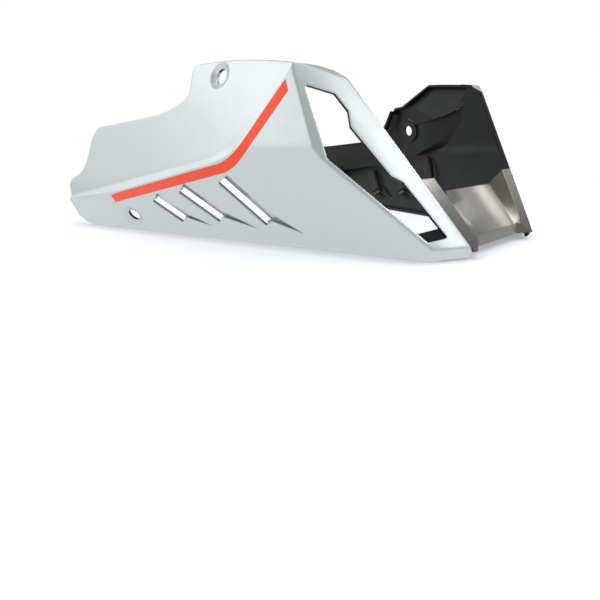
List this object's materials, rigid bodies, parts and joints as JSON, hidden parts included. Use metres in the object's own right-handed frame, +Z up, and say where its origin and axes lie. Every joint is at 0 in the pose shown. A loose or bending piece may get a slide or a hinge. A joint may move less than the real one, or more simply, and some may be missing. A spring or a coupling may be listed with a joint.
{
  "type": "motorcycle belly pan",
  "caption": "Facetted motorcycle belly pan: louvred side panels with windowed front frames, joined by a sunk chin piece, with a flat coloured stripe along each side.",
  "frame": {"origin": "midway along the length and across the width, on the ground that the bottom edges stand on", "axes": "+X forward, +Y to the rider's left, +Z up"},
  "size_m": [0.4853, 0.4346, 0.1803],
  "materials": {
    "silver_paint": "silver metallic paint on moulded ABS, satin gloss; bare black inside",
    "bronze_paint": "dark bronze metallic paint, satin",
    "red_film": "glossy self-adhesive film"
  },
  "bodies": {
    "root": {"right_panel": "silver_paint", "left_panel": "silver_paint", "centre_pan": "bronze_paint", "right_stripe": "red_film", "left_stripe": "red_film"}
  },
  "joints": []
}
